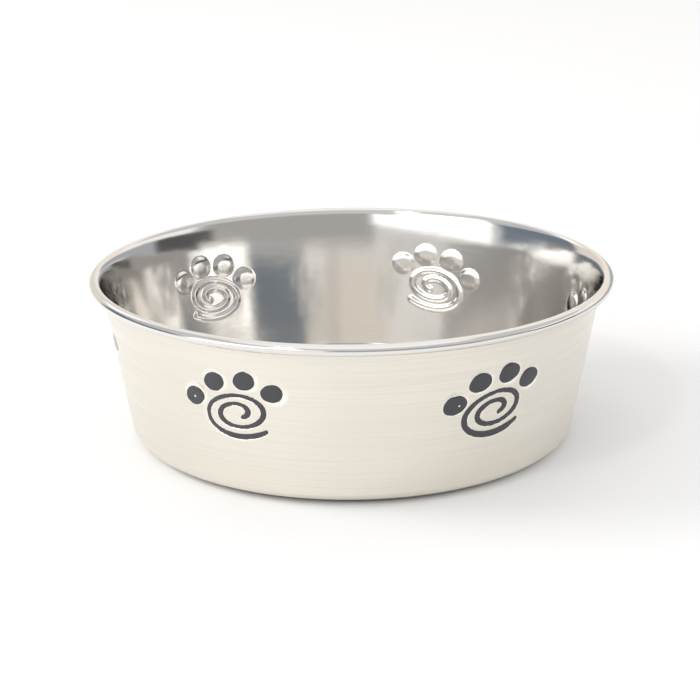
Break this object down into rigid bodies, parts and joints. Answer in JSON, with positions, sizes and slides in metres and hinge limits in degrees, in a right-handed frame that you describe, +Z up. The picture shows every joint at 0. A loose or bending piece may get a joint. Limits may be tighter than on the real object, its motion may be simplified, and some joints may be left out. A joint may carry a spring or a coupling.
{
  "type": "pet food bowl",
  "caption": "Round stainless steel feeding bowl with a flared wall, rolled rim, pressed and enamelled paw prints and a non-skid rubber foot ring.",
  "frame": {"origin": "centre of the foot ring's underside, on the bowl's axis, at floor level", "axes": "+Z up along the bowl's axis, -Y towards the pictured side, +X to the right as seen in the picture"},
  "size_m": [0.165, 0.165, 0.0525],
  "materials": {
    "steel": "fine circular brushing outside, mirror polish inside",
    "rubber": "matt moulded rubber",
    "enamel": "glossy poured enamel"
  },
  "bodies": {
    "root": {"steel_bowl": "steel", "rubber_foot_ring": "rubber", "paw_1_toe_1_enamel": "enamel", "paw_1_toe_2_enamel": "enamel", "paw_1_toe_3_enamel": "enamel", "paw_1_toe_4_enamel": "enamel", "paw_1_spiral_pad_enamel": "enamel", "paw_2_toe_1_enamel": "enamel", "paw_2_toe_2_enamel": "enamel", "paw_2_toe_3_enamel": "enamel", "paw_2_toe_4_enamel": "enamel", "paw_2_spiral_pad_enamel": "enamel", "paw_3_toe_1_enamel": "enamel", "paw_3_toe_2_enamel": "enamel", "paw_3_toe_3_enamel": "enamel", "paw_3_toe_4_enamel": "enamel", "paw_3_spiral_pad_enamel": "enamel", "paw_4_toe_1_enamel": "enamel", "paw_4_toe_2_enamel": "enamel", "paw_4_toe_3_enamel": "enamel", "paw_4_toe_4_enamel": "enamel", "paw_4_spiral_pad_enamel": "enamel", "paw_5_toe_1_enamel": "enamel", "paw_5_toe_2_enamel": "enamel", "paw_5_toe_3_enamel": "enamel", "paw_5_toe_4_enamel": "enamel", "paw_5_spiral_pad_enamel": "enamel", "paw_6_toe_1_enamel": "enamel", "paw_6_toe_2_enamel": "enamel", "paw_6_toe_3_enamel": "enamel", "paw_6_toe_4_enamel": "enamel", "paw_6_spiral_pad_enamel": "enamel"}
  },
  "joints": []
}
